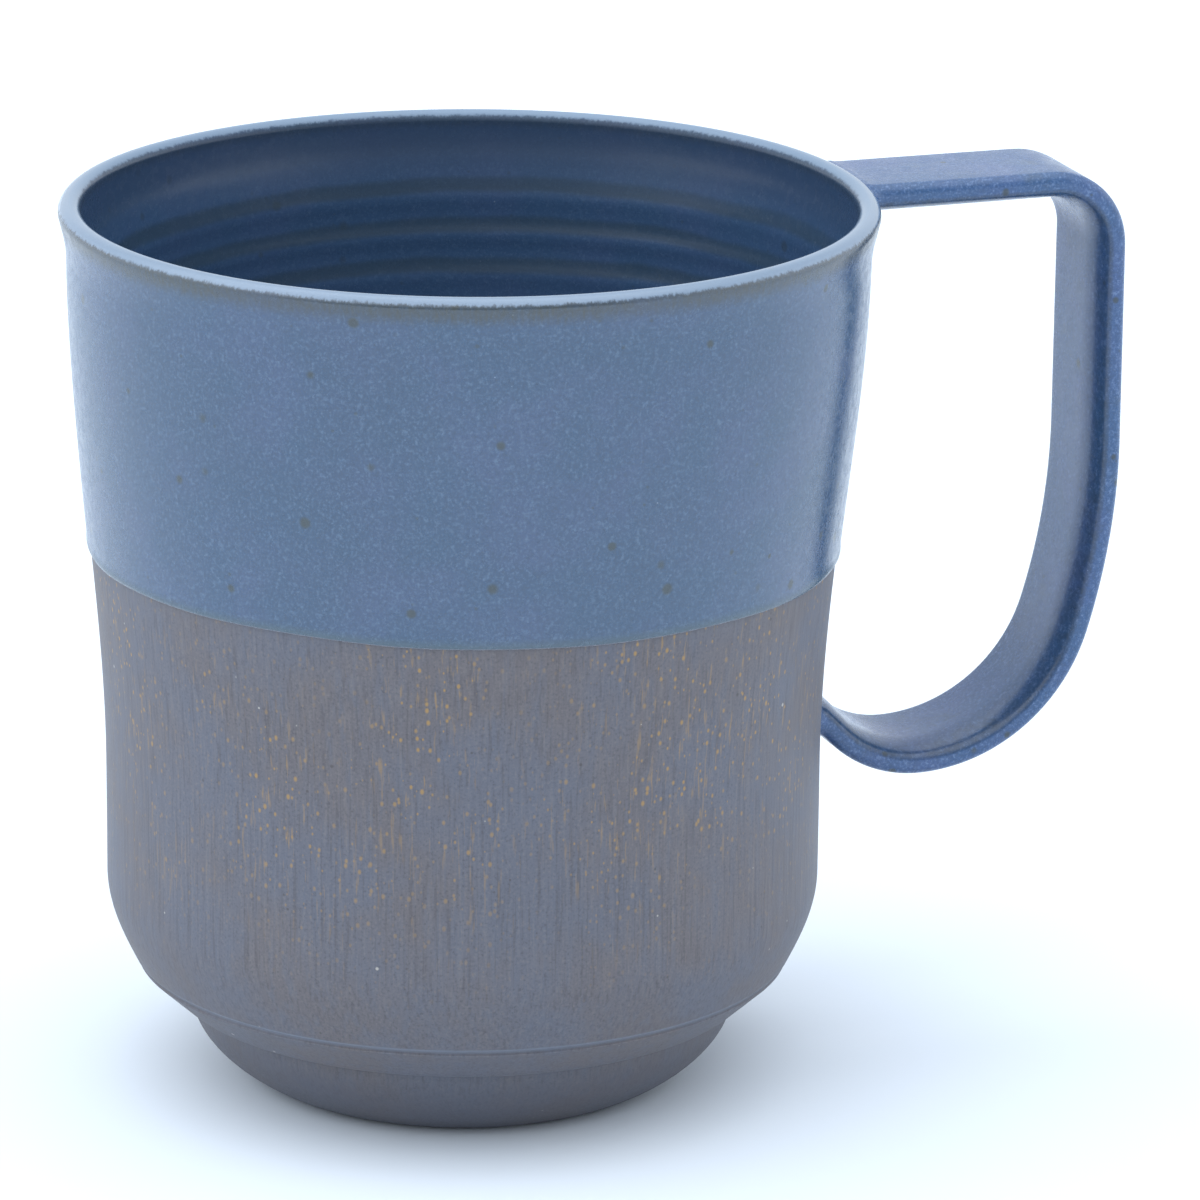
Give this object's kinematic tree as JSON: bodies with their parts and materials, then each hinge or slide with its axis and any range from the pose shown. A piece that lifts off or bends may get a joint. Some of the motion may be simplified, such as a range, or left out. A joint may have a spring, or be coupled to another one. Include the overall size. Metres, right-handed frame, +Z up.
{
  "type": "ceramic mug",
  "caption": "Wheel-thrown stoneware mug with a trimmed foot, a glazed upper half and interior, and a flat strap handle.",
  "frame": {"origin": "centre of the foot ring, on the plane the mug stands on", "axes": "+Z up along the pot's axis, +X from the axis towards the handle, +Y completes the right-handed frame"},
  "size_m": [0.1212, 0.09, 0.1],
  "materials": {
    "bare_stoneware": "unglazed dark speckled stoneware, smooth trimmed surface with a faint sheen",
    "handle_stoneware": "unglazed dark stoneware, covered by the handle's glaze",
    "fired_slip": "smoothed fired slip",
    "liner_glaze": "satin blue glaze, darker inside",
    "blue_glaze": "satin-gloss mottled blue glaze with sparse iron specks",
    "handle_glaze": "satin-gloss mottled blue glaze"
  },
  "bodies": {
    "root": {"clay_body": "bare_stoneware", "handle_strap": "handle_stoneware", "upper_joint_slip": "fired_slip", "lower_joint_slip": "fired_slip", "liner_glaze": "liner_glaze", "outer_glaze": "blue_glaze", "handle_glaze": "handle_glaze"}
  },
  "joints": []
}
